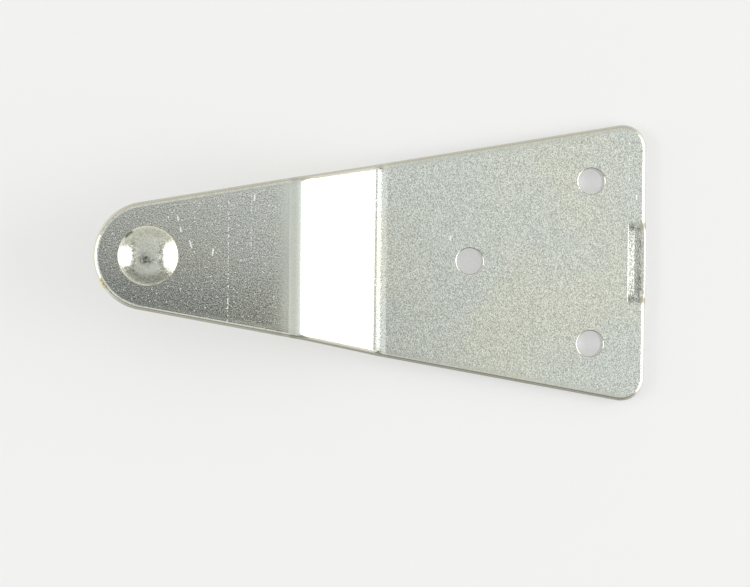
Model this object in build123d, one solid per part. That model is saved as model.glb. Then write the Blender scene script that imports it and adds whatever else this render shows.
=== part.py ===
from build123d import *
import os
from math import cos, radians, sin, tan

# Hinge plate with a staked pin, for hanging a door from a cabinet.
# The frame: the origin is on the pin's axis, level with the mounting face. X runs from the pin to the
# rear edge of the plate, Y across it, and Z up through the pin's domed head. Sizes are in millimetres
# and angles in degrees.

# The blank
SHEET = 3.0             # thickness of the steel
NOSE_RADIUS = 12.1      # round end, about the pin's axis
TAPER = 10.0            # each side's angle to the centre line, in the flat blank
CORNER_RADIUS = 5.5     # the two rear corners
REAR_HOLES_AT = 101.6   # pin axis to the line of the two rear screw holes
REAR_MARGIN = 13.1      # that line to the rear edge
EDGE_ROLL = 1.2         # rounding that blanking leaves along the top edges

# The screw holes
HOLE_DIAMETER = 6.1
HOLE_SPACING = 38.1     # between the two rear holes
FRONT_HOLE_AHEAD = 28.5  # front hole, ahead of the rear line
HOLE_ROLL = 0.35        # rounding of the holes' top rims

# The offset bend, which lifts the nose over the mounting flat
NOSE_RISE = 15.0        # mounting face to the nose's underside
WEB_SLOPE = 40.3        # the sloping web's angle to the flats
WEB_AT = 34.15          # pin axis to the upper bend's apex, on the top face
UPPER_BEND = 5.5        # inside radius, on the underside
LOWER_BEND = 5.0        # inside radius, on the top face
SIDE_BLEND = 60.0       # plan radius where a side passes over a bend

# The step, pressed down at the middle of the rear edge
STEP_WIDTH = 14.8       # fully pressed part
STEP_RAMP = 2.8         # each end, where it runs back up to the flat
STEP_IN = 4.35          # crease to the rear edge
STEP_RUN = 1.6          # crease to the foot of the slope
STEP_DROP = 0.3         # top face to the foot of the slope
STEP_LIFT = 0.22        # rise of the step's floor towards the edge
STEP_ROLL = 0.5         # rounding of the step's own edge

# The pin
SHANK_DIAMETER = 9.5
SHANK_LENGTH = 21.5     # nose's underside to the tip
TIP_CHAMFER = 1.0
TENON_DIAMETER = 7.6    # neck through the nose
TENON_CLEARANCE = 0.05  # radial, neck in its hole
HEAD_DIAMETER = 13.2
HEAD_HEIGHT = 3.0
HEAD_RIM = 0.5          # upright rim under the dome

# Worked out from the above
NOSE_TOP = NOSE_RISE + SHEET
WEB_END = WEB_AT + NOSE_RISE / tan(radians(WEB_SLOPE))
REAR_EDGE = REAR_HOLES_AT + REAR_MARGIN
FRONT_HOLE_AT = REAR_HOLES_AT - FRONT_HOLE_AHEAD
CREASE_AT = REAR_EDGE - STEP_IN


def half_widths():
    """Half of the plate's width at the upper bend, the lower bend and the rear edge, square corners."""
    slope = tan(radians(TAPER))
    at_web = NOSE_RADIUS / cos(radians(TAPER)) + slope * WEB_AT
    web_length = (WEB_END - WEB_AT) / cos(radians(WEB_SLOPE))
    at_flat = at_web + slope * web_length
    at_rear = at_flat + slope * (REAR_EDGE - WEB_END)
    return at_web, at_flat, at_rear


def plan_outline():
    """The plate seen from above: a round nose, straight tapering sides and rounded rear corners.

    The blank's sides are straight, so the web, which is foreshortened from above, widens faster."""
    at_web, at_flat, at_rear = half_widths()
    touch_x = -NOSE_RADIUS * sin(radians(TAPER))
    touch_y = NOSE_RADIUS * cos(radians(TAPER))
    side = [(touch_x, touch_y), (WEB_AT, at_web), (WEB_END, at_flat), (REAR_EDGE, at_rear)]
    other_side = [(x, -y) for x, y in reversed(side)]
    rounding = [SIDE_BLEND, SIDE_BLEND, CORNER_RADIUS]
    with BuildSketch() as sketch:
        with BuildLine():
            sides = FilletPolyline(*side, *other_side, radius=rounding + rounding[::-1])
            ThreePointArc(sides @ 1, (-NOSE_RADIUS, 0), sides @ 0)
        make_face()
    return sketch.sketch


def bent_strip():
    """A strip of sheet as wide as the plate, with the offset bend and nothing cut from it."""
    half_width = half_widths()[-1]
    start = -NOSE_RADIUS
    shift = SHEET * tan(radians(WEB_SLOPE / 2))
    top = [(start, NOSE_TOP), (WEB_AT, NOSE_TOP), (WEB_END, SHEET), (REAR_EDGE, SHEET)]
    under = [(x - shift, z - SHEET) for x, z in top[1:3]]
    under = [(start, NOSE_RISE), *under, (REAR_EDGE, 0)]
    with BuildSketch(Plane.XZ) as section:
        with BuildLine():
            upper = FilletPolyline(*top, radius=[UPPER_BEND + SHEET, LOWER_BEND])
            lower = FilletPolyline(*under, radius=[UPPER_BEND, LOWER_BEND + SHEET])
            Line(upper @ 0, lower @ 0)
            Line(upper @ 1, lower @ 1)
        make_face()
    return extrude(section.sketch, half_width, both=True)


def top_edges(solid):
    """The upper edges of a sheet's upright walls."""
    found = []
    for wall in solid.faces():
        if abs(wall.normal_at().Z) > 1e-6:
            continue
        for edge in wall.edges():
            upright = abs(edge.tangent_at(0.5).Z) > 0.99
            if not upright and edge.center().Z > wall.center().Z:
                found.append(edge)
    return found


def step_slice(drop, lift, rounding):
    """A slice through the rear edge, pressed down by that drop, with its floor tipped up by that lift.

    It runs from the crease along the top, round the edge's rounding and back underneath."""
    foot = CREASE_AT + STEP_RUN
    roll = REAR_EDGE - rounding
    floor = SHEET - drop
    rim = floor + lift
    shift = SHEET * STEP_DROP / STEP_RUN / 2
    crease = (CREASE_AT, SHEET)
    root = (CREASE_AT - shift, 0)
    return Wire([
        Line(crease, (foot, floor)),
        Line((foot, floor), (roll, rim)),
        TangentArc((roll, rim), (REAR_EDGE, rim - rounding), tangent=(1, 0)),
        Line((REAR_EDGE, rim - rounding), (REAR_EDGE, -drop)),
        Line((REAR_EDGE, -drop), (foot - shift, -drop)),
        Line((foot - shift, -drop), root),
        Line(root, crease),
    ])


def slice_in_place(shape, y):
    """A slice drawn in X and Z, set across the plate at that Y."""
    return Plane.XZ.offset(-y) * shape


def step_ramp(flat, pressed):
    """One end of the step, where the sheet runs from the pressed slice up to the flat edge."""
    skin = [Face.make_surface_from_curves(*pair) for pair in zip(flat.edges(), pressed.edges())]
    return Solid(Shell([Face(flat), Face(pressed), *skin]))


def rear_step():
    """The pressed step with a ramp at each end, and the flat edge that it takes the place of."""
    flat = step_slice(0, 0, EDGE_ROLL)
    pressed = step_slice(STEP_DROP, STEP_LIFT, STEP_ROLL)
    half = STEP_WIDTH / 2
    ends = half + STEP_RAMP
    middle = extrude(slice_in_place(Face(pressed), 0), half, both=True)
    ramps = [
        step_ramp(slice_in_place(flat, side * ends), slice_in_place(pressed, side * half))
        for side in (-1, 1)
    ]
    return [middle, *ramps], extrude(slice_in_place(Face(flat), 0), ends, both=True)


def screw_holes():
    """Cutters for the three screw holes, each with the rounded top rim that piercing leaves."""
    with BuildSketch(Plane.XZ) as half:
        with BuildLine():
            radius = HOLE_DIAMETER / 2
            rim = radius + HOLE_ROLL
            wall = Polyline((0, SHEET), (0, 0), (radius, 0), (radius, SHEET - HOLE_ROLL))
            TangentArc(wall @ 1, (rim, SHEET), tangent=(0, 1))
            Line((rim, SHEET), (0, SHEET))
        make_face()
    cutter = revolve(half.sketch, Axis.Z)
    rear = HOLE_SPACING / 2
    places = [(FRONT_HOLE_AT, 0), (REAR_HOLES_AT, rear), (REAR_HOLES_AT, -rear)]
    return [Pos(x, y) * cutter for x, y in places]


def hinge_plate():
    """The stamped and bent plate, one piece of sheet."""
    blank = bent_strip() & extrude(plan_outline(), NOSE_TOP)
    sheet = fillet(top_edges(blank), EDGE_ROLL)
    pin_hole = Pos(0, 0, NOSE_RISE) * Cylinder(
        TENON_DIAMETER / 2 + TENON_CLEARANCE,
        SHEET,
        align=(Align.CENTER, Align.CENTER, Align.MIN),
    )
    step, flat_edge = rear_step()
    for cutter in [pin_hole, flat_edge, *screw_holes()]:
        sheet = sheet - cutter
    for piece in step:
        sheet = sheet + piece
    return sheet


def hinge_pin():
    """The turned pin: a domed head on the nose, a neck through it and a shank that hangs below."""
    tip = NOSE_RISE - SHANK_LENGTH
    shank = SHANK_DIAMETER / 2
    neck = TENON_DIAMETER / 2
    head = HEAD_DIAMETER / 2
    crown = NOSE_TOP + HEAD_HEIGHT
    with BuildSketch(Plane.XZ) as half:
        with BuildLine():
            side = Polyline(
                (0, crown),
                (0, tip),
                (shank - TIP_CHAMFER, tip),
                (shank, tip + TIP_CHAMFER),
                (shank, NOSE_RISE),
                (neck, NOSE_RISE),
                (neck, NOSE_TOP),
                (head, NOSE_TOP),
                (head, NOSE_TOP + HEAD_RIM),
            )
            TangentArc(side @ 0, side @ 1, tangent=(1, 0))
        make_face()
    return revolve(half.sketch, Axis.Z)


os.makedirs("parts", exist_ok=True)
export_step(hinge_plate(), "parts/hinge_plate.step")
export_step(hinge_pin(), "parts/hinge_pin.step")
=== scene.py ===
from math import atan2, pi, radians, tan

import bpy
from mathutils import Matrix, Vector

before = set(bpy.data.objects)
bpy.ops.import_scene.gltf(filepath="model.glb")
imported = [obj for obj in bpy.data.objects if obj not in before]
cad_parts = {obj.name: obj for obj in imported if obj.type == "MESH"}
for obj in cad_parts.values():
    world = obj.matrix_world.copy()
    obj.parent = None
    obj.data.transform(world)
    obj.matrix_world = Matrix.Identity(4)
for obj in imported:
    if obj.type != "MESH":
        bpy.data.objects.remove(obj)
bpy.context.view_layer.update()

# A hinge plate with a staked pin, lying on a pale table and seen from straight above it.
# Everything is in metres, in the part's own frame: the pin's axis is Z, and X runs to the rear edge.
# The part lies on its pin's tip and its rear edge, so the table is not level in that frame.

MM = 0.001

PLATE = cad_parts["hinge_plate"]
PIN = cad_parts["hinge_pin"]
SAME_HEIGHT = 0.01 * MM                 # points this close in height touch the table together

# The camera, looking straight down at the table
CAMERA_OVER = (51.09 * MM, -7.79 * MM)  # the point below the lens
CAMERA_HEIGHT = 348.9 * MM              # above the table
CAMERA_TURN = 0.571                     # degrees, about the upright axis
CAMERA_NEAREST = 0.01                   # nothing closer to the lens is drawn
LENS = 70.64                            # millimetres, on a sensor 36 wide

# The table
TABLE_SIDE = 8.0
TABLE_COLOUR = (0.87, 0.87, 0.865, 1.0)
TABLE_ROUGHNESS = 0.9
TABLE_GLOW = (0.90, 0.90, 0.895, 1.0)   # its own pale light, seen only directly and in reflections
GLOW_SHARE = 0.45

# The room's soft light, as the brightness of each side
CEILING = (0.815, 0.815, 0.81, 1.0)
FRONT = (0.30, 0.295, 0.28, 1.0)
BACK = (0.60, 0.59, 0.54, 1.0)
HORIZON = (0.78, 0.775, 0.755, 1.0)
FRONT_TO_BACK = (-0.6, 0.5)             # over the direction's share along Y
WALLS_ABOVE = (0.12, 0.3)               # over its share upwards, from the horizon to the walls
CEILING_ABOVE = (0.52, 0.86)            # and from the walls to the ceiling

# The dim patch overhead, which darkens the nose and the middle of the pin's head
DIM_TOWARDS = (-0.156, -0.139, 0.98)
DIM_SHARE = 0.13
DIM_INNER, DIM_OUTER = 6.0, 17.5        # degrees from its middle

# The lamps, a large soft panel and a small bright one on each side: brightness, lowest and highest
# elevation and half of the width, all three in degrees
LAMP_AWAY = 1.5
LEFT_PANEL = (1.45, 5.0, 44.0, 20.0)
RIGHT_PANEL = (1.45, 0.0, 49.5, 35.0)
KEY = (4.0, 33.0, 46.0, 18.0)

# The plating
COOL_ZINC = (0.718, 0.762, 0.698, 1.0)
WARM_ZINC = (0.746, 0.768, 0.666, 1.0)
EDGE_ZINC = (0.87, 0.86, 0.74, 1.0)
CUT_ZINC = (0.58, 0.59, 0.55, 1.0)
HOLE_ZINC = (0.66, 0.67, 0.68, 1.0)
PIN_ZINC = (0.75, 0.772, 0.685, 1.0)
RIM_ZINC = (0.90, 0.88, 0.72, 1.0)
STEP_ENDS_ZINC = (0.46, 0.44, 0.35, 1.0)
SCRATCHES_AND_GLINTS = (0.98, 0.98, 0.95, 1.0)
STAINED = (0.77, 0.51, 0.09, 1.0)

# The outline of the plate, for the smooth border along it
NOSE_HALF = 12.29 * MM                  # half of the width at the pin
TAPER_SLOPE = 0.176                     # each side, width over length
WEB_FROM, WEB_TO = 34.15 * MM, 51.84 * MM
WEB_WIDENS = 0.97 * MM                  # more than the taper does, over the web

# Below, places on the part are in millimetres along X, unless a comment says otherwise. Two numbers are
# the start and end of a change from nought to one, and four add its value before and after. A band is
# its start, its end and the softness of both, and a half is a half width along Y and its softness.
# A noise is its features a metre. What is dark is taken off a tone of one, and what is pale is added.

# The rolled edges and the cut walls, told by the surface's own direction
EDGE_LEAN = (0.12, 0.4)                 # its sideways share, from the flat to a full edge
REAR_ROLL = (113.2, 113.6)
BORDER = (1.2, 2.4, 1.0, 0.0)           # in from the outline
# Painted shade on the rolled edges, standing for their dark reflections
LOWER_ROLL_DARK = (-0.8, -0.4, 0.58, 0.0)  # over its share along Y
UPPER_ROLL_DARK = (0.4, 0.8, 0.0, 0.28)    # over its share along Y
CUT_LEAN = (0.15, 0.1)                  # half and softness of its upward share on a wall
HOLE_LEAN = (0.4, 0.2)                  # the same in the screw holes, with their rims
HOLES_BAND = (66.0, 108.0, 1.0)
HOLES_HALF = (24.0, 0.5)

# The sheet's grain and faint tints
FINE_NOISE, COARSE_NOISE = 6500.0, 2600.0
FINE_SHARE, COARSE_SHARE = 0.75, 0.25
FINE_STRETCH = (1.0, 0.6, 1.0)
GRAIN_TONE = (0.34, 0.66, -0.40, 0.34)
GRAIN_DEPTH = 0.02 * MM
NOSE_CONTRAST = (26.0, 31.0, 1.4, 1.0)
CALM_BAND = (29.5, 35.5, 2.2)           # the stretched sheet at the upper bend
CALM_SHARE = 0.8                        # of the grain, lost where the sheet is smooth
BORDER_CALM = 0.6
BORDER_DARK = 0.08
TINT_NOISE = 34.0
TINT_CHANGE = (0.42, 0.62)

# The lower side of the nose, darker inside its border and paler along it
LOW_SIDE = (-15.0, 2.0)                 # along Y, from its full effect to none
LOW_SIDE_TO = (25.0, 31.0, 1.0, 0.0)
LOW_SIDE_DARK = 0.22
LOW_SIDE_CONTRAST = 0.7
BORDER_PALE = 0.2

# The bends, with painted light and shade that stand for their reflections
PAINTED_BEND_LIGHT_BAND = (29.6, 31.3, 1.0)
PAINTED_BEND_LIGHT_PALE = (0.24, 0.07)              # on the low side and beyond it
PAINTED_BEND_SHADE_BAND = (31.2, 32.7, 0.4)
PAINTED_BEND_SHADE_DARK = 0.10
# Painted shade and light at the lower bend: a dark line and a grey foot for its dark reflections, paler
# beyond the foot
LINE_SLANT = 0.0065                     # of the lower bend's line, X over Y
LINE_BAND = (50.75, 51.45, 0.15)
LINE_DARK = 0.6
FOOT_FROM = (51.4, 51.6)
FOOT_TO = (51.7, 52.75, 1.0, 0.0)
FOOT_DARK = 0.68
FADING_BAND = (52.6, 53.6, 0.5)
FADING_PALE = 0.16
FOOT_ENDS_BAND = (51.6, 53.0, 0.3)
FOOT_ENDS_DARK = 0.12

# The pressed step, from its crease down the slope to its floor and out to the bright edge strip
STEP_HALF = (9.3, 0.8)
STEP_MIDDLE_HALF = (5.0, 2.0)
STEP_GRAIN = (0.4, 0.6)
# A painted highlight along the step's crease
CREASE_BAND = (110.33, 110.43, 0.08)
CREASE_HALF = (9.0, 0.5)
# Painted shade: the slope darkened to tone down its bright reflection, the floor darker, most at one end
SLOPE_BAND = (110.5, 111.9, 0.15)
SLOPE_DARK = (0.55, 0.42)               # at the ends and in the middle
SLOPE_GRAIN_DARK = (0.1, -0.1)          # before and after the grain's change
FLOOR_BAND = (111.9, 113.6, 0.15)
FLOOR_DEEPENS = (111.9, 113.2, 0.2, 1.0)
FLOOR_LIGHTENS = (-8.0, 6.0, 1.0, 0.6)  # along Y
FLOOR_GRAIN_DARK = (0.5, 0.05)          # before and after the grain's change
FLOOR_END_DARK = (-8.6, -7.6, 0.3, 0.0)  # along Y
STRIP_BAND = (113.5, 114.1, 0.1)
STRIP_HALF = (9.0, 1.0)
ENDS_BAND = (7.9, 9.6, 0.6)             # along Y, on both sides
ENDS_FROM = (112.9, 113.7)

# The clearest scratches: X and Y of the middle and the length, and the lean, X over Y
SCRATCHES = (
    (23.3, 13.2, 1.8, 0.0),
    (6.5, 8.3, 1.2, -0.2),
    (7.1, 5.9, 1.3, -0.1),
    (9.3, 2.7, 1.9, -0.3),
    (14.2, 1.0, 1.9, 0.1),
    (68.5, 5.3, 1.3, 0.1),
    (112.3, 15.4, 1.3, 0.0),
)
SCRATCH_WIDTH = (0.15, 0.07)            # half width and softness
SCRATCH_LENGTH = (0.43, 0.07)           # half length and softness, as shares of the length

# Lines that the rolls left across the sheet, as rows of specks: X, and the lowest and highest Y
ROLLED_LINES = ((17.6, -15.0, 13.0), (22.6, -1.0, 14.0), (110.5, 19.0, 29.0))
ROLLED_HALF = 0.12
ROLLED_ENDS = 1.0
ROLLED_GAIN = 0.22                      # how much closer together the specks are on them
# The specks are painted glints of the grain
SPECK_NOISE = 3300.0
SPECK_CHANGE = (0.745, 0.815)

# Spots: X and Y of the middle and half sizes along X and Y
SPOT_FADE = (0.2, 1.0, 1.0, 0.0)        # over the square of the distance, in half sizes
STAIN_SPOT = (-9.7, -6.2, 1.5, 1.6)
STAIN_CHANGE = (0.42, 0.55)

# The sheet's roughness
FLAT_ROUGHNESS, EDGE_ROUGHNESS = 0.17, 0.12
CUT_ROUGHER = 0.22
MARKS_ROUGHER = 0.4

# The pin, a peened head on a turned shank
HEAD_ABOVE = (16.5, 17.5)               # along Z
TURNING_NOISE = 9000.0
TURNING_STRETCH = (0.02, 0.02, 1.0)
TURNING_GRAIN = (0.2, 0.8, 0.42, 0.58)
PEENED_NOISE, DENT_NOISE = 2600.0, 900.0
PIN_GRAIN_TONE = (0.3, 0.7, -0.14, 0.12)
PIN_ROUGHNESS = (0.3, 0.7, 0.16, 0.32)  # over the grain
PIN_GRAIN_SHARE = 0.3                   # of the dents' depth
PIN_DEPTH = 0.04 * MM
PITS_RING = (1.2, 2.0, 0.35)            # out from the axis
PITS_BELOW = (-0.9, -0.2, 1.0, 0.0)     # along Y
PITS_NOISE = 2000.0
PITS_CHANGE = (0.42, 0.56)
PITS_DARK = 0.3
CROWN_SPOT = (0.0, 0.0, 4.2, 4.2)
CROWN_DARK = 0.22
# Painted shade on the head's flanks, which shrinks the lamps' highlights there
FLANKS_HALF = (3.0, 1.0)
FLANKS_BAND = (2.6, 3.8, 0.5)           # on both sides of the axis
FLANKS_NOISE = 1500.0
FLANKS_CHANGE = (0.3, 0.55)
FLANKS_DARK = 0.4
# A painted shadow under the head's rim, on its upper left
RIM_SHADOW_SPOT = (-4.1, 4.6, 1.6, 1.3)
RIM_SHADOW_FROM = (5.9, 6.1)                   # out from the axis
RIM_SHADOW_DARK = 0.7
RIM_FROM = (6.1, 6.35)                  # out from the axis

COLOUR_A, COLOUR_B, COLOUR_RESULT = 6, 7, 2  # a mix node's colour sockets


def linked(tree, socket, value):
    """Sets an input to a plain value, or links another node's output to it."""
    if isinstance(value, bpy.types.NodeSocket):
        tree.links.new(value, socket)
    else:
        socket.default_value = value


def sums(tree, operation, first, second=0.0):
    """One sum of two numbers."""
    node = tree.nodes.new("ShaderNodeMath")
    node.operation = operation
    linked(tree, node.inputs[0], first)
    linked(tree, node.inputs[1], second)
    return node.outputs[0]


def added(tree, first, second):
    """Two numbers added."""
    return sums(tree, "ADD", first, second)


def times(tree, first, *others):
    """Several numbers multiplied."""
    for other in others:
        first = sums(tree, "MULTIPLY", first, other)
    return first


def rest_of(tree, share):
    """What a share leaves of one."""
    return sums(tree, "SUBTRACT", 1.0, share)


def together(tree, first, *others):
    """The largest of several shares."""
    for other in others:
        first = sums(tree, "MAXIMUM", first, other)
    return first


def ramp(tree, value, low, high, start=0.0, end=1.0):
    """Start below low, end above high, and a smooth change between them."""
    node = tree.nodes.new("ShaderNodeMapRange")
    node.interpolation_type = "SMOOTHSTEP"
    given = {"Value": value, "From Min": low, "From Max": high, "To Min": start, "To Max": end}
    for name, item in given.items():
        linked(tree, node.inputs[name], item)
    return node.outputs["Result"]


def over(tree, place, low, high, start=0.0, end=1.0):
    """The same change over places in millimetres."""
    return ramp(tree, place, low * MM, high * MM, start, end)


def between(tree, place, start, end, soft):
    """One between two places in millimetres and nought outside them, with soft ends."""
    rises = over(tree, place, start - soft, start + soft)
    falls = over(tree, place, end - soft, end + soft, 1.0, 0.0)
    return times(tree, rises, falls)


def within(tree, value, half, soft):
    """One where a value is closer to nought than half, nought beyond it, with a soft end."""
    return ramp(tree, sums(tree, "ABSOLUTE", value), half - soft, half + soft, 1.0, 0.0)


def near(tree, place, half, soft):
    """The same for a place, with half and softness in millimetres."""
    return within(tree, place, half * MM, soft * MM)


def mixed(tree, share, first, second, blend="MIX"):
    """Two colours blended by that share."""
    node = tree.nodes.new("ShaderNodeMix")
    node.data_type = "RGBA"
    node.blend_type = blend
    linked(tree, node.inputs["Factor"], share)
    linked(tree, node.inputs[COLOUR_A], first)
    linked(tree, node.inputs[COLOUR_B], second)
    return node.outputs[COLOUR_RESULT]


def dimmed(tree, colour, share):
    """A colour times a number."""
    grey = tree.nodes.new("ShaderNodeCombineColor")
    for name in ("Red", "Green", "Blue"):
        linked(tree, grey.inputs[name], share)
    return mixed(tree, 1.0, colour, grey.outputs["Color"], "MULTIPLY")


def noise(tree, where, scale, detail=2.0, roughness=0.5, stretch=(1.0, 1.0, 1.0)):
    """Cloudy noise at that many features a metre, stretched along an axis where its share is small."""
    mapping = tree.nodes.new("ShaderNodeMapping")
    linked(tree, mapping.inputs["Vector"], where)
    mapping.inputs["Scale"].default_value = stretch
    node = tree.nodes.new("ShaderNodeTexNoise")
    linked(tree, node.inputs["Vector"], mapping.outputs["Vector"])
    node.inputs["Scale"].default_value = scale
    node.inputs["Detail"].default_value = detail
    node.inputs["Roughness"].default_value = roughness
    return node.outputs["Fac"]


def parts_of(tree, vector):
    """The X, Y and Z of a vector."""
    node = tree.nodes.new("ShaderNodeSeparateXYZ")
    linked(tree, node.inputs["Vector"], vector)
    return node.outputs["X"], node.outputs["Y"], node.outputs["Z"]


def facing(tree):
    """The X, Y and Z of the surface's own direction."""
    return parts_of(tree, tree.nodes.new("ShaderNodeNewGeometry").outputs["Normal"])


def new_metal(name):
    """A plain metal material, its node tree, its shader and the place on the part."""
    material = bpy.data.materials.new(name)
    material.use_nodes = True
    tree = material.node_tree
    shader = tree.nodes["Principled BSDF"]
    shader.inputs["Metallic"].default_value = 1.0
    where = tree.nodes.new("ShaderNodeTexCoord").outputs["Object"]
    return material, tree, shader, where


def bumped(tree, shader, height, depth):
    """Gives the shader a relief of that height, from nought to one, over that depth."""
    bump = tree.nodes.new("ShaderNodeBump")
    bump.inputs["Distance"].default_value = depth
    linked(tree, bump.inputs["Height"], height)
    tree.links.new(bump.outputs["Normal"], shader.inputs["Normal"])


def darkened(tree, tone, *shares):
    """A tone with each share taken off it, as deep as the number beside that share says."""
    for share, depth in shares:
        tone = sums(tree, "SUBTRACT", tone, times(tree, share, depth))
    return tone


def off_centre(tree, across, along):
    """How far a point is from the pin's axis."""
    return sums(tree, "SQRT", added(tree, times(tree, across, across), times(tree, along, along)))


def spot(tree, where, x, y, wide, tall):
    """A soft oval spot: its middle and its half sizes along X and Y, in millimetres."""
    across, along = parts_of(tree, where)[:2]
    to_rear = sums(tree, "DIVIDE", sums(tree, "SUBTRACT", across, x * MM), wide * MM)
    to_side = sums(tree, "DIVIDE", sums(tree, "SUBTRACT", along, y * MM), tall * MM)
    far = added(tree, times(tree, to_rear, to_rear), times(tree, to_side, to_side))
    return ramp(tree, far, *SPOT_FADE)


def worn_edges(tree, across):
    """One on the rolled edges, nought on the flats and the web."""
    to_rear, to_side, _ = facing(tree)
    low, high = EDGE_LEAN
    sides = ramp(tree, sums(tree, "ABSOLUTE", to_side), low, high)
    nose = ramp(tree, to_rear, -high, -low, 1.0, 0.0)
    rear = times(tree, ramp(tree, to_rear, low, high), over(tree, across, *REAR_ROLL))
    return together(tree, sides, nose, rear)


def border(tree, across, along):
    """One along the plate's sides and round its nose, where the edge's rolling smoothed the sheet."""
    behind = sums(tree, "MAXIMUM", across, 0.0)
    ahead = sums(tree, "MINIMUM", across, 0.0)
    half = added(tree, NOSE_HALF, times(tree, behind, TAPER_SLOPE))
    half = added(tree, half, ramp(tree, across, WEB_FROM, WEB_TO, 0.0, WEB_WIDENS))
    inside = sums(tree, "SUBTRACT", half, off_centre(tree, ahead, along))
    return over(tree, inside, *BORDER)


def cut_walls(tree):
    """One on the upright walls that the blanking cut, nought elsewhere."""
    return within(tree, facing(tree)[2], *CUT_LEAN)


def hole_walls(tree, across, along):
    """One on the walls of the screw holes, which are the upright ones away from the plate's edges."""
    place = times(tree, near(tree, along, *HOLES_HALF), between(tree, across, *HOLES_BAND))
    return times(tree, within(tree, facing(tree)[2], *HOLE_LEAN), place)


def edge_tone(tree, cut):
    """Painted shade on the rolled edges above the cut walls, standing for their dark reflections: dark on the
    side that faces the front and a little dark on the other.
    """
    to_side = facing(tree)[1]
    dark = added(tree, ramp(tree, to_side, *LOWER_ROLL_DARK), ramp(tree, to_side, *UPPER_ROLL_DARK))
    return rest_of(tree, times(tree, dark, rest_of(tree, cut)))


def stroke(tree, where, mark):
    """One short straight scratch: its middle, its length and how far it leans."""
    x, y, length, lean = mark
    across, along = parts_of(tree, where)[:2]
    along = sums(tree, "SUBTRACT", along, y * MM)
    off = sums(tree, "SUBTRACT", across, x * MM)
    off = sums(tree, "SUBTRACT", off, times(tree, along, lean))
    half, soft = [share * length for share in SCRATCH_LENGTH]
    return times(tree, near(tree, off, *SCRATCH_WIDTH), near(tree, along, half, soft))


def specks(tree, where):
    """Small bright specks, painted glints of the grain, thinly spread and closer together along the rolled
    lines.
    """
    across, along = parts_of(tree, where)[:2]
    lines = 0.0
    for x, low, high in ROLLED_LINES:
        width = between(tree, across, x - ROLLED_HALF, x + ROLLED_HALF, ROLLED_HALF)
        length = between(tree, along, low, high, ROLLED_ENDS)
        lines = added(tree, lines, times(tree, width, length))
    dots = noise(tree, where, SPECK_NOISE, detail=0.0)
    return ramp(tree, added(tree, dots, times(tree, lines, ROLLED_GAIN)), *SPECK_CHANGE)


def low_side(tree, across, along):
    """One along the lower side of the nose, nought elsewhere."""
    return times(tree, over(tree, along, *LOW_SIDE, 1.0, 0.0), over(tree, across, *LOW_SIDE_TO))


def bend_tone(tree, across, along, edge, sides):
    """Painted light and shade along the bends: pale before the upper one and darker in it, a dark line and a
    grey foot at the lower, paler beyond the foot and darker at its ends.
    """
    # Painted light before the upper bend and painted shade in it, standing for its reflection
    painted_bend_light = times(tree, between(tree, across, *PAINTED_BEND_LIGHT_BAND), over(tree, along, *LOW_SIDE, *PAINTED_BEND_LIGHT_PALE))
    turned = between(tree, across, *PAINTED_BEND_SHADE_BAND)
    # Painted shade at the lower bend: a dark line and a grey foot for its dark reflections, paler beyond and
    # darker at the foot's ends
    slant = sums(tree, "SUBTRACT", across, times(tree, along, LINE_SLANT))
    flat = rest_of(tree, edge)
    line = times(tree, between(tree, slant, *LINE_BAND), flat)
    foot = times(tree, over(tree, slant, *FOOT_FROM), over(tree, across, *FOOT_TO), flat)
    fading = between(tree, across, *FADING_BAND)
    ends = times(tree, between(tree, across, *FOOT_ENDS_BAND), sides, flat)
    return darkened(
        tree,
        added(tree, 1.0, painted_bend_light),
        (turned, PAINTED_BEND_SHADE_DARK),
        (line, LINE_DARK),
        (foot, FOOT_DARK),
        (fading, -FADING_PALE),
        (ends, FOOT_ENDS_DARK),
    )


def step_tone(tree, across, along, grain):
    """Painted shade on the pressed step, with a coarse grain: its slope darkened to tone down its bright
    reflection, and its floor and one of its ends darker.
    """
    length = near(tree, along, *STEP_HALF)
    middle = near(tree, along, *STEP_MIDDLE_HALF)
    slope = between(tree, across, *SLOPE_BAND)
    floor = between(tree, across, *FLOOR_BAND)
    on_slope = added(
        tree,
        ramp(tree, middle, 0.0, 1.0, *SLOPE_DARK),
        ramp(tree, grain, *STEP_GRAIN, *SLOPE_GRAIN_DARK),
    )
    on_floor = times(
        tree,
        over(tree, across, *FLOOR_DEEPENS),
        over(tree, along, *FLOOR_LIGHTENS),
        ramp(tree, grain, *STEP_GRAIN, *FLOOR_GRAIN_DARK),
    )
    on_floor = added(tree, on_floor, over(tree, along, *FLOOR_END_DARK))
    dark = added(tree, times(tree, slope, on_slope), times(tree, floor, on_floor))
    return rest_of(tree, times(tree, dark, length))


def step_ends(tree, across, along, cut):
    """One at the darker, browner ends of the pressed step, above the cut wall."""
    place = between(tree, sums(tree, "ABSOLUTE", along), *ENDS_BAND)
    return times(tree, place, over(tree, across, *ENDS_FROM), rest_of(tree, cut))


def sheet_colour(tree, where, edge, cut, wall):
    """The plating's own colour: two faint tints, yellower on the rolled edges and greyer where cut."""
    tint = ramp(tree, noise(tree, where, TINT_NOISE, detail=3.0), *TINT_CHANGE)
    colour = mixed(tree, tint, COOL_ZINC, WARM_ZINC)
    colour = mixed(tree, edge, colour, EDGE_ZINC)
    colour = mixed(tree, cut, colour, CUT_ZINC)
    return mixed(tree, wall, colour, HOLE_ZINC)


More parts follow.
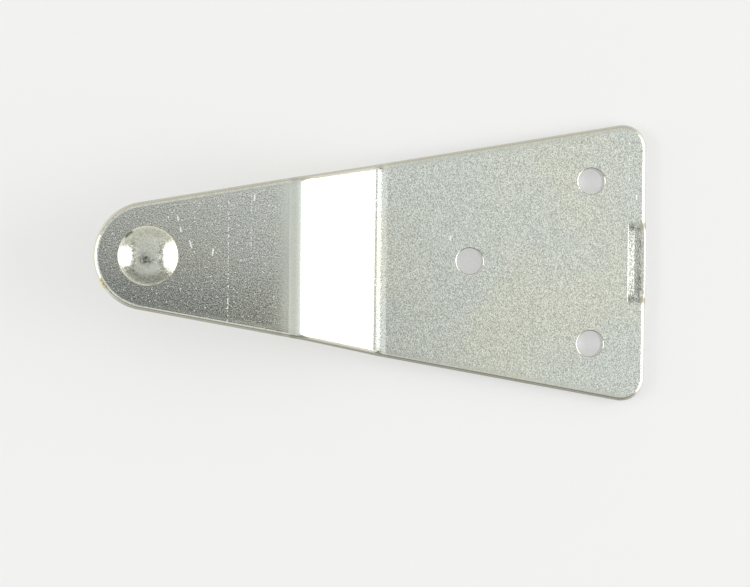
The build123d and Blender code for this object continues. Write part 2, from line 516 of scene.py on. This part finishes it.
def nose_tone(tree, across, along, grain, depth, sides):
    """Tone of the grain and the border, with the nose's lower side darker and grainier inside the border and
    paler on it.
    """
    low = low_side(tree, across, along)
    darker_low = times(tree, low, rest_of(tree, sides))
    contrast = added(tree, over(tree, across, *NOSE_CONTRAST), times(tree, darker_low, LOW_SIDE_CONTRAST))
    shade = times(tree, ramp(tree, grain, *GRAIN_TONE), times(tree, depth, contrast))
    return times(
        tree,
        added(tree, 1.0, shade),
        rest_of(tree, times(tree, darker_low, LOW_SIDE_DARK)),
        rest_of(tree, times(tree, sides, BORDER_DARK)),
        added(tree, 1.0, times(tree, sides, low, BORDER_PALE)),
    )


def sheet_marks(tree, where, across, along, depth):
    """One on the painted highlight along the step's crease, on the specks, which are painted glints, and on
    the scratches.
    """
    crease = times(tree, between(tree, across, *CREASE_BAND), near(tree, along, *CREASE_HALF))
    marks = together(tree, crease, times(tree, specks(tree, where), depth))
    for mark in SCRATCHES:
        marks = together(tree, marks, stroke(tree, where, mark))
    return marks


def plated_sheet():
    """Zinc-plated rolled sheet: a fine sparkling grain, faint tints, worn edges, bend lines and scratches."""
    material, tree, shader, where = new_metal("plated_sheet_finish")
    across, along = parts_of(tree, where)[:2]
    fine = noise(tree, where, FINE_NOISE, detail=1.0, roughness=0.6, stretch=FINE_STRETCH)
    coarse = noise(tree, where, COARSE_NOISE, detail=1.0)
    grain = added(tree, times(tree, fine, FINE_SHARE), times(tree, coarse, COARSE_SHARE))
    edge = worn_edges(tree, across)
    wall = hole_walls(tree, across, along)
    cut = cut_walls(tree)
    sides = border(tree, across, along)
    calm = together(tree, edge, wall, times(tree, sides, BORDER_CALM), between(tree, across, *CALM_BAND))
    depth = rest_of(tree, times(tree, calm, CALM_SHARE))
    strip = times(tree, between(tree, across, *STRIP_BAND), near(tree, along, *STRIP_HALF))
    marks = sheet_marks(tree, where, across, along, depth)
    ends = step_ends(tree, across, along, cut)
    stain = times(tree, spot(tree, where, *STAIN_SPOT), ramp(tree, coarse, *STAIN_CHANGE), edge)

    tone = times(
        tree,
        nose_tone(tree, across, along, grain, depth, sides),
        bend_tone(tree, across, along, edge, sides),
        step_tone(tree, across, along, coarse),
        edge_tone(tree, cut),
    )
    colour = dimmed(tree, sheet_colour(tree, where, together(tree, edge, strip), cut, wall), tone)
    for share, mark_colour in ((marks, SCRATCHES_AND_GLINTS), (ends, STEP_ENDS_ZINC), (stain, STAINED)):
        colour = mixed(tree, share, colour, mark_colour)
    linked(tree, shader.inputs["Base Color"], colour)

    rough = ramp(tree, together(tree, edge, wall), 0.0, 1.0, FLAT_ROUGHNESS, EDGE_ROUGHNESS)
    rough = added(tree, rough, times(tree, sums(tree, "SUBTRACT", cut, wall), CUT_ROUGHER))
    rough = added(tree, rough, times(tree, together(tree, marks, ends), MARKS_ROUGHER))
    linked(tree, shader.inputs["Roughness"], rough)
    bumped(tree, shader, times(tree, grain, depth), GRAIN_DEPTH)
    return material


def pin_tone(tree, where, across, along, out, grain):
    """Tone of the pin: its grain, the head's pits, a darker crown, painted shade on its flanks that shrinks
    the lamps' highlights, and a painted shadow under its rim.
    """
    pits = times(
        tree,
        between(tree, out, *PITS_RING),
        over(tree, along, *PITS_BELOW),
        ramp(tree, noise(tree, where, PITS_NOISE, detail=1.0), *PITS_CHANGE),
    )
    crown = spot(tree, where, *CROWN_SPOT)
    flanks = times(
        tree,
        near(tree, along, *FLANKS_HALF),
        between(tree, sums(tree, "ABSOLUTE", across), *FLANKS_BAND),
        ramp(tree, noise(tree, where, FLANKS_NOISE, detail=1.0), *FLANKS_CHANGE),
    )
    rim_shadow = times(tree, spot(tree, where, *RIM_SHADOW_SPOT), over(tree, out, *RIM_SHADOW_FROM))
    tone = added(tree, 1.0, ramp(tree, grain, *PIN_GRAIN_TONE))
    return darkened(
        tree, tone, (pits, PITS_DARK), (crown, CROWN_DARK), (flanks, FLANKS_DARK), (rim_shadow, RIM_SHADOW_DARK)
    )


def plated_pin():
    """The same plating on the pin: a dented and pitted head with a yellower rim, and a turned shank."""
    material, tree, shader, where = new_metal("plated_pin_finish")
    across, along, up = parts_of(tree, where)
    head = over(tree, up, *HEAD_ABOVE)
    lines = noise(tree, where, TURNING_NOISE, detail=1.0, stretch=TURNING_STRETCH)
    turned = times(tree, ramp(tree, lines, *TURNING_GRAIN), rest_of(tree, head))
    grain = added(tree, times(tree, noise(tree, where, PEENED_NOISE), head), turned)
    dents = times(tree, noise(tree, where, DENT_NOISE), head)
    out = off_centre(tree, across, along)
    colour = mixed(tree, over(tree, out, *RIM_FROM), PIN_ZINC, RIM_ZINC)
    colour = dimmed(tree, colour, pin_tone(tree, where, across, along, out, grain))
    linked(tree, shader.inputs["Base Color"], colour)
    linked(tree, shader.inputs["Roughness"], ramp(tree, grain, *PIN_ROUGHNESS))
    bumped(tree, shader, added(tree, dents, times(tree, grain, PIN_GRAIN_SHARE)), PIN_DEPTH)
    return material


def touching_point(node):
    """The rearmost of a node's lowest points, where it stands on the table."""
    points = [node.matrix_world @ vertex.co for vertex in node.data.vertices]
    low = min(point.z for point in points)
    return max((point for point in points if point.z < low + SAME_HEIGHT), key=lambda point: point.x)


def table_frame():
    """The table's own frame: its middle below the part's origin, its top as X and Y."""
    front = touching_point(PIN)
    rise = touching_point(PLATE) - front
    turn = Matrix.Rotation(-atan2(rise.z, rise.x), 4, "Y")
    upright = turn @ Vector((0.0, 0.0, 1.0))
    return Matrix.Translation(upright * upright.dot(front)) @ turn


def pale_table():
    """The table's plain finish, with a glow that only the rays of the picture and of reflections see."""
    material = bpy.data.materials.new("pale_table")
    material.use_nodes = True
    tree = material.node_tree
    shader = tree.nodes["Principled BSDF"]
    shader.inputs["Base Color"].default_value = TABLE_COLOUR
    shader.inputs["Roughness"].default_value = TABLE_ROUGHNESS
    glow = tree.nodes.new("ShaderNodeEmission")
    glow.inputs["Color"].default_value = TABLE_GLOW
    path = tree.nodes.new("ShaderNodeLightPath")
    rays = ("Is Camera Ray", "Is Glossy Ray", "Is Transmission Ray")
    seen = together(tree, *[path.outputs[name] for name in rays])
    blend = tree.nodes.new("ShaderNodeMixShader")
    share, plain, glowing = blend.inputs
    linked(tree, share, times(tree, seen, GLOW_SHARE))
    linked(tree, plain, shader.outputs["BSDF"])
    linked(tree, glowing, glow.outputs["Emission"])
    tree.links.new(blend.outputs["Shader"], tree.nodes["Material Output"].inputs["Surface"])
    return material


def table():
    """The plain pale table that the part lies on."""
    half = TABLE_SIDE / 2
    corners = [(-half, -half, 0.0), (half, -half, 0.0), (half, half, 0.0), (-half, half, 0.0)]
    mesh = bpy.data.meshes.new("table")
    mesh.from_pydata(corners, [], [(0, 1, 2, 3)])
    mesh.materials.append(pale_table())
    top = bpy.data.objects.new("table", mesh)
    top.matrix_world = ON_TABLE
    bpy.context.scene.collection.objects.link(top)


def studio():
    """The soft light of the room: a pale ceiling with a dim patch, a dim front and a pale back."""
    world = bpy.data.worlds.new("studio")
    bpy.context.scene.world = world
    world.use_nodes = True
    tree = world.node_tree
    direction = tree.nodes.new("ShaderNodeTexCoord").outputs["Generated"]
    along, up = parts_of(tree, direction)[1:]
    nearness = tree.nodes.new("ShaderNodeVectorMath")
    nearness.operation = "DOT_PRODUCT"
    linked(tree, nearness.inputs[0], direction)
    nearness.inputs[1].default_value = Vector(DIM_TOWARDS).normalized()
    off = sums(tree, "ARCCOSINE", nearness.outputs["Value"])
    patch = ramp(tree, off, radians(DIM_INNER), radians(DIM_OUTER), DIM_SHARE, 1.0)
    walls = mixed(tree, ramp(tree, along, *FRONT_TO_BACK), FRONT, BACK)
    light = mixed(tree, ramp(tree, up, *WALLS_ABOVE), HORIZON, walls)
    light = mixed(tree, ramp(tree, up, *CEILING_ABOVE), light, dimmed(tree, CEILING, patch))
    linked(tree, tree.nodes["Background"].inputs["Color"], light)


def lamp(name, side, reach):
    """A soft oval lamp on one side of the part, facing it."""
    glow, low, high, half_width = reach
    wide = 2 * LAMP_AWAY * tan(radians(half_width))
    tall = 2 * LAMP_AWAY * tan(radians((high - low) / 2))
    light = bpy.data.lights.new(name, "AREA")
    light.shape = "ELLIPSE"
    light.size = wide
    light.size_y = tall
    light.energy = glow * pi * wide * tall * pi / 4
    holder = bpy.data.objects.new(name, light)
    middle = Vector((CAMERA_OVER[0], 0.0, 0.0))
    lift = Matrix.Rotation(-side * radians((high + low) / 2), 3, "Y")
    away = lift @ Vector((side * LAMP_AWAY, 0.0, 0.0))
    aim = (-away).to_track_quat("-Z", "Y").to_matrix().to_4x4()
    holder.matrix_world = ON_TABLE @ Matrix.Translation(middle + away) @ aim
    holder.visible_camera = False
    bpy.context.scene.collection.objects.link(holder)


def overhead_camera():
    """The photograph's view, from straight above the table."""
    camera = bpy.data.cameras.new("camera")
    camera.lens = LENS
    camera.clip_start = CAMERA_NEAREST
    holder = bpy.data.objects.new("camera", camera)
    above = Matrix.Translation((*CAMERA_OVER, CAMERA_HEIGHT))
    holder.matrix_world = ON_TABLE @ above @ Matrix.Rotation(radians(CAMERA_TURN), 4, "Z")
    bpy.context.scene.collection.objects.link(holder)
    bpy.context.scene.camera = holder


ON_TABLE = table_frame()
PLATE.data.materials[0] = plated_sheet()
PIN.data.materials[0] = plated_pin()
table()
studio()
lamp("left_panel", -1, LEFT_PANEL)
lamp("left_key", -1, KEY)
lamp("right_panel", 1, RIGHT_PANEL)
lamp("right_key", 1, KEY)
overhead_camera()
bpy.context.scene.view_settings.view_transform = "Standard"
